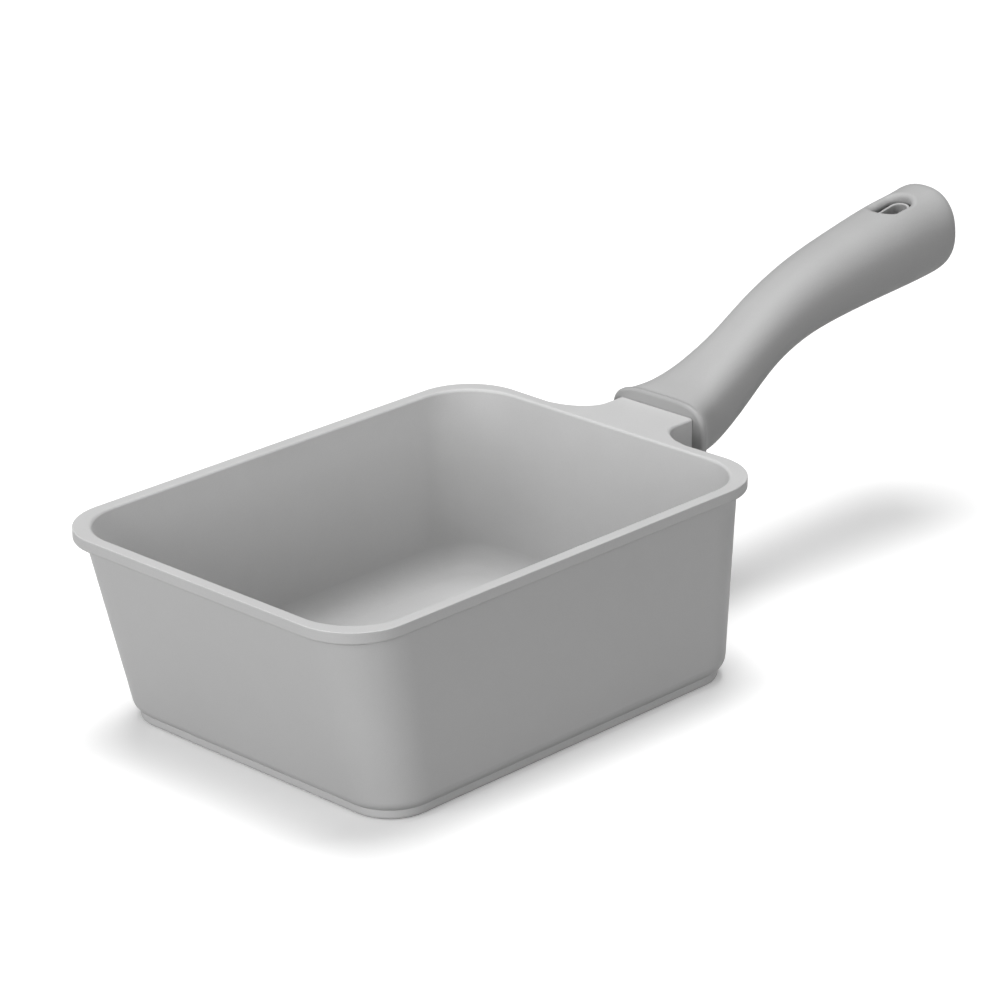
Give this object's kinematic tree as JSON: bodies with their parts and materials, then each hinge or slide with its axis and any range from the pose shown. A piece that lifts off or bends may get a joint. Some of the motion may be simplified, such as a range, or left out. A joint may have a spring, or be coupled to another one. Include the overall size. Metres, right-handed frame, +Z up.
{
  "type": "tamagoyaki pan",
  "caption": "Deep rectangular cast frying pan for rolled omelettes, with a flared bracket, a beaded collar and an S-curved moulded grip with a hanging slot.",
  "frame": {"origin": "on the surface that the pan stands on, under the centre of the rim", "axes": "+X along the handle, away from the pan; +Y across the pan; +Z up out of the open top"},
  "size_m": [0.3374, 0.13, 0.1098],
  "materials": {
    "pan_coating": "fine grained matt coating on cast aluminium",
    "base_steel": "brushed",
    "collar_plastic": "satin",
    "grip_plastic": "fine grained soft matt",
    "liner_plastic": "satin",
    "screw_steel": "plain zinc",
    "washer_steel": "plain zinc"
  },
  "bodies": {
    "root": {"pan_body": "pan_coating", "induction_plate": "base_steel", "collar_ring": "collar_plastic", "handle_grip": "grip_plastic", "hanging_liner": "liner_plastic", "handle_screw": "screw_steel", "spring_washer": "washer_steel"}
  },
  "joints": []
}
